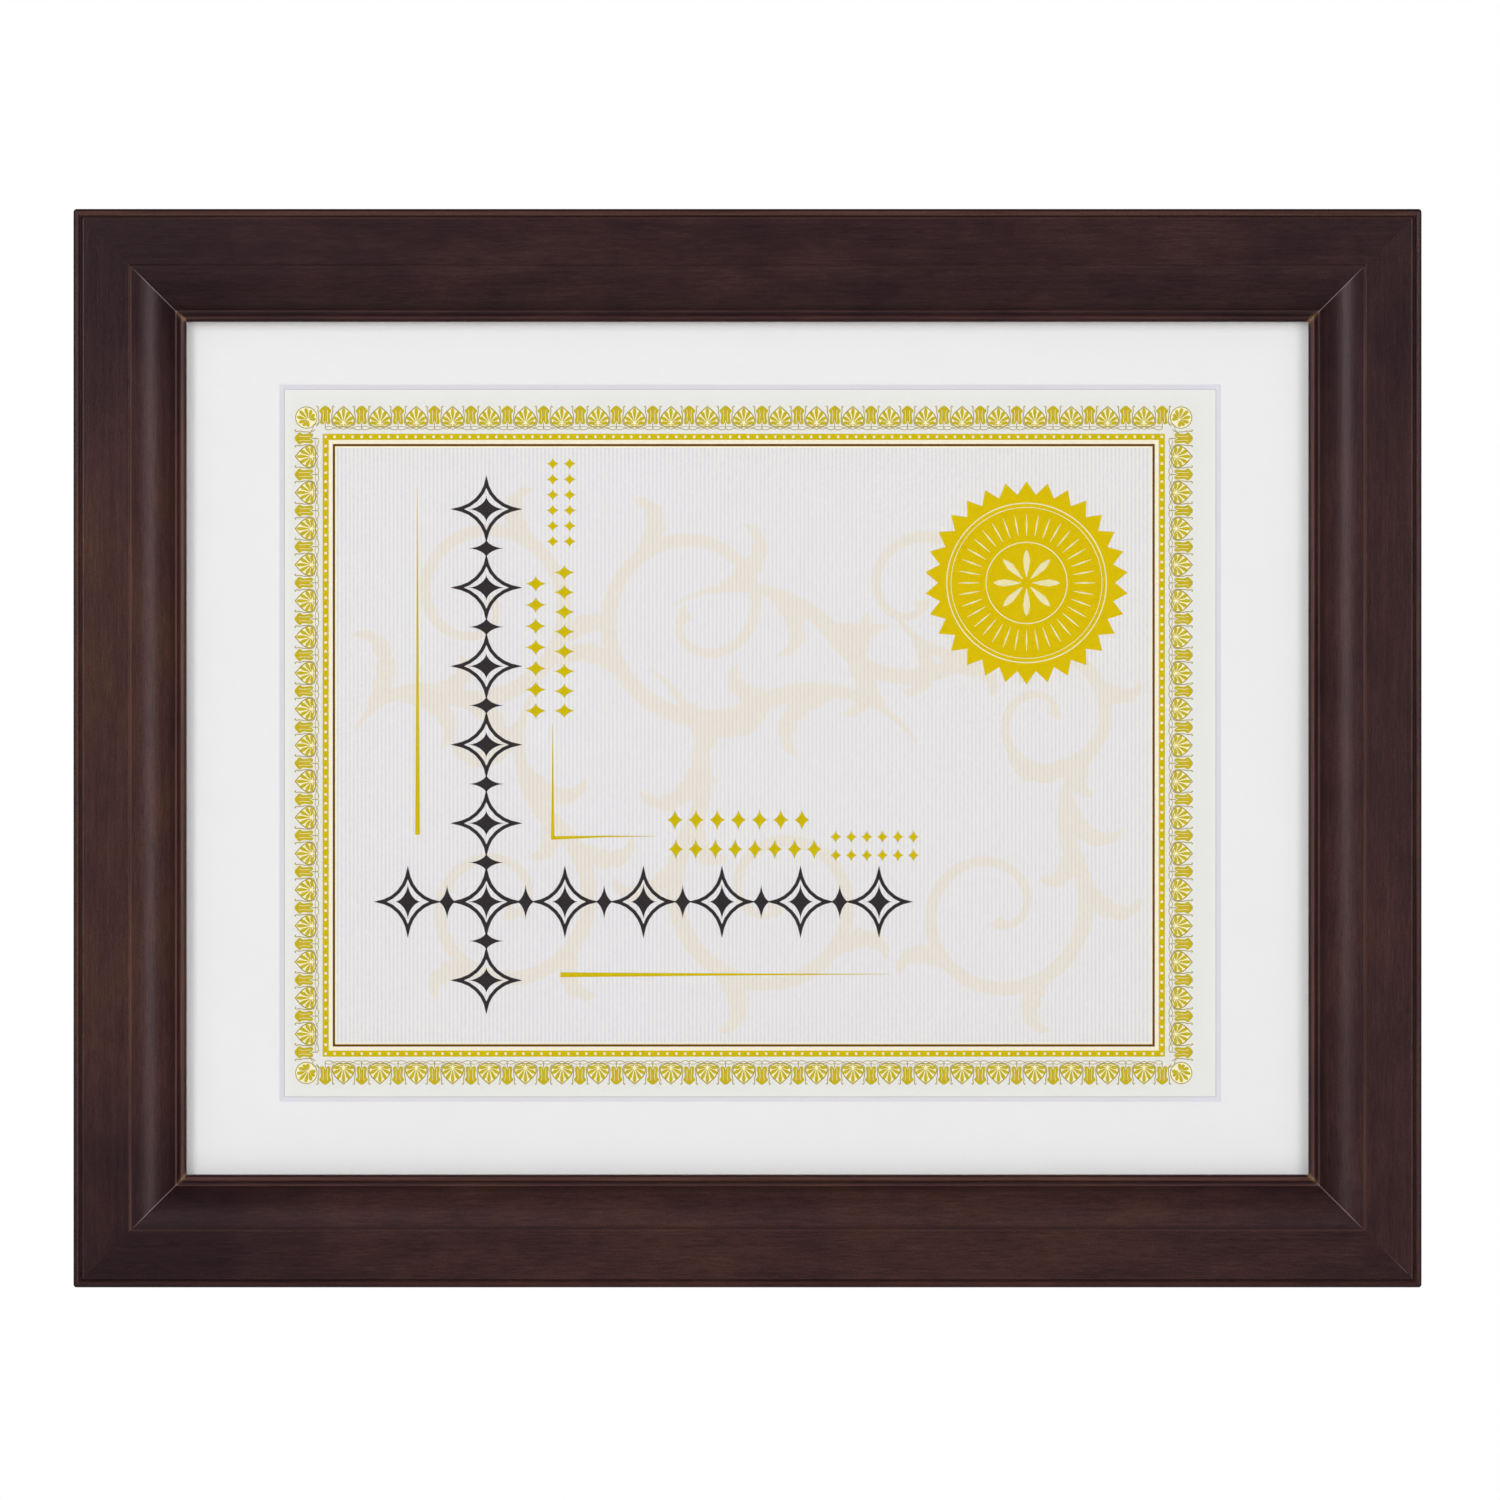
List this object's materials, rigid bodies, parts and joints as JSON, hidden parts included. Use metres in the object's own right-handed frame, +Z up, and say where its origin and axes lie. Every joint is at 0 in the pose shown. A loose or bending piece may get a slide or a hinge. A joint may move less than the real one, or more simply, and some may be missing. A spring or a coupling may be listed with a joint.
{
  "type": "certificate frame",
  "caption": "Wall-hung wooden document frame with a stepped mitred moulding, glass, a white bevelled mat and a certificate, closed by turn buttons.",
  "frame": {"origin": "where the wall nail bears: the middle notch of the upper sawtooth hanger, on the back plane of the rails", "axes": "+Z up, +X to the right as seen from the front; the front faces -Y and the wall is on +Y"},
  "size_m": [0.381, 0.023, 0.3048],
  "materials": {
    "stained_wood": "dark espresso stain under satin lacquer",
    "clear_glass": "clear, polished",
    "mat_board": "matt white facing over a white core",
    "certificate_paper": "uncoated ivory sheet with a printed border",
    "chipboard": "raw grey-brown chipboard",
    "hardboard": "tempered hardboard, smooth face",
    "zinc_plated_steel": "bright zinc plate",
    "brassed_steel": "brass-plated steel strip",
    "blued_steel": "blued spring steel"
  },
  "bodies": {
    "root": {"top_rail": "stained_wood", "bottom_rail": "stained_wood", "left_rail": "stained_wood", "right_rail": "stained_wood", "top_left_v_nails": "blued_steel", "top_right_v_nails": "blued_steel", "bottom_left_v_nails": "blued_steel", "bottom_right_v_nails": "blued_steel", "glass_pane": "clear_glass", "mat_board": "mat_board", "certificate_sheet": "certificate_paper", "filler_board": "chipboard", "backing_board": "hardboard", "button_screws": "zinc_plated_steel", "landscape_hanger": "brassed_steel", "landscape_hanger_brads": "brassed_steel", "portrait_hanger": "brassed_steel", "portrait_hanger_brads": "brassed_steel"},
    "button_top_left": {"turn_button_top_left": "zinc_plated_steel"},
    "button_top_right": {"turn_button_top_right": "zinc_plated_steel"},
    "button_bottom_left": {"turn_button_bottom_left": "zinc_plated_steel"},
    "button_bottom_right": {"turn_button_bottom_right": "zinc_plated_steel"},
    "button_left_lower": {"turn_button_left_lower": "zinc_plated_steel"},
    "button_left_upper": {"turn_button_left_upper": "zinc_plated_steel"},
    "button_right_lower": {"turn_button_right_lower": "zinc_plated_steel"},
    "button_right_upper": {"turn_button_right_upper": "zinc_plated_steel"}
  },
  "joints": [
    {"name": "swivel_top_left", "type": "hinge", "parent": "root", "child": "button_top_left", "pos_m": [-0.09525, 0, -0.00282], "axis": [0, 1, 0], "continuous": true},
    {"name": "swivel_top_right", "type": "hinge", "parent": "root", "child": "button_top_right", "pos_m": [0.09525, 0, -0.00282], "axis": [0, 1, 0], "continuous": true},
    {"name": "swivel_bottom_left", "type": "hinge", "parent": "root", "child": "button_bottom_left", "pos_m": [-0.09525, 0, -0.27232], "axis": [0, 1, 0], "continuous": true},
    {"name": "swivel_bottom_right", "type": "hinge", "parent": "root", "child": "button_bottom_right", "pos_m": [0.09525, 0, -0.27232], "axis": [0, 1, 0], "continuous": true},
    {"name": "swivel_left_lower", "type": "hinge", "parent": "root", "child": "button_left_lower", "pos_m": [-0.17285, 0, -0.19853], "axis": [0, 1, 0], "continuous": true},
    {"name": "swivel_left_upper", "type": "hinge", "parent": "root", "child": "button_left_upper", "pos_m": [-0.17285, 0, -0.07662], "axis": [0, 1, 0], "continuous": true},
    {"name": "swivel_right_lower", "type": "hinge", "parent": "root", "child": "button_right_lower", "pos_m": [0.17285, 0, -0.19853], "axis": [0, 1, 0], "continuous": true},
    {"name": "swivel_right_upper", "type": "hinge", "parent": "root", "child": "button_right_upper", "pos_m": [0.17285, 0, -0.07662], "axis": [0, 1, 0], "continuous": true}
  ]
}
